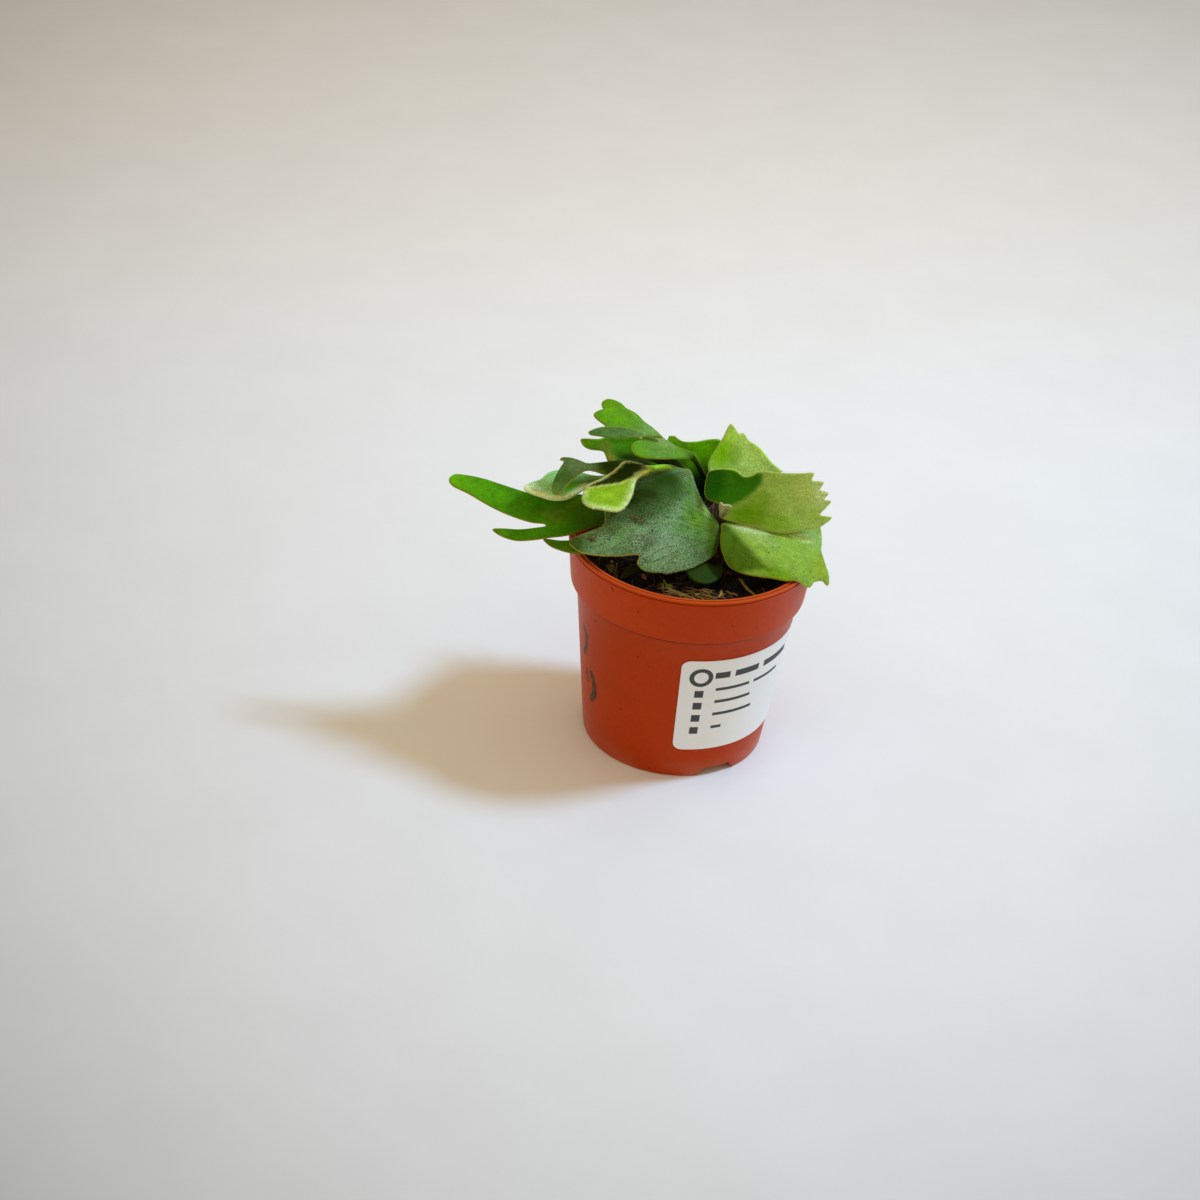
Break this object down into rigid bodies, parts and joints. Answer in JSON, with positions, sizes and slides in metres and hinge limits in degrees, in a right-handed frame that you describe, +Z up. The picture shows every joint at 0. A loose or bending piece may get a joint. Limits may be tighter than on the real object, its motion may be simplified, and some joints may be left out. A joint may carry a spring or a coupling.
{
  "type": "potted java staghorn fern",
  "caption": "Young staghorn fern with broad lobed shield fronds and forked antler fronds in a small tapered plastic nursery pot with a blank label.",
  "frame": {"origin": "middle of the pot's foot, on the surface that the pot stands on", "axes": "+Z up along the pot's axis, -Y towards the picture's viewer, +X to the viewer's right; the long antler frond points to -X"},
  "size_m": [0.0929, 0.0645, 0.0867],
  "materials": {
    "pot_plastic": "semi-matte moulded plastic, terracotta orange-brown",
    "label_paper": "satin white coated sticker",
    "potting_mix": "moist dark peat and bark with tan fibres",
    "rhizome": "rough brown papery scales",
    "shield_frond": "leathery leaf under a pale felt of fine hairs",
    "antler_frond": "leathery green leaf with a thin yellow-green margin"
  },
  "bodies": {
    "root": {"pot": "pot_plastic", "plant_label": "label_paper", "potting_soil": "potting_mix", "crown": "rhizome", "shield_front": "shield_frond", "shield_right_low": "shield_frond", "shield_right_upright": "shield_frond", "shield_rear_right": "shield_frond", "shield_back": "shield_frond", "frond_rear_left": "antler_frond", "frond_back": "antler_frond", "antler_top": "antler_frond", "antler_left_upper": "antler_frond", "antler_left_forked": "antler_frond", "antler_left_cupped": "antler_frond", "frond_left_folded": "antler_frond", "antler_left_long": "antler_frond", "frond_left_low": "antler_frond", "frond_front_young": "antler_frond"}
  },
  "joints": []
}
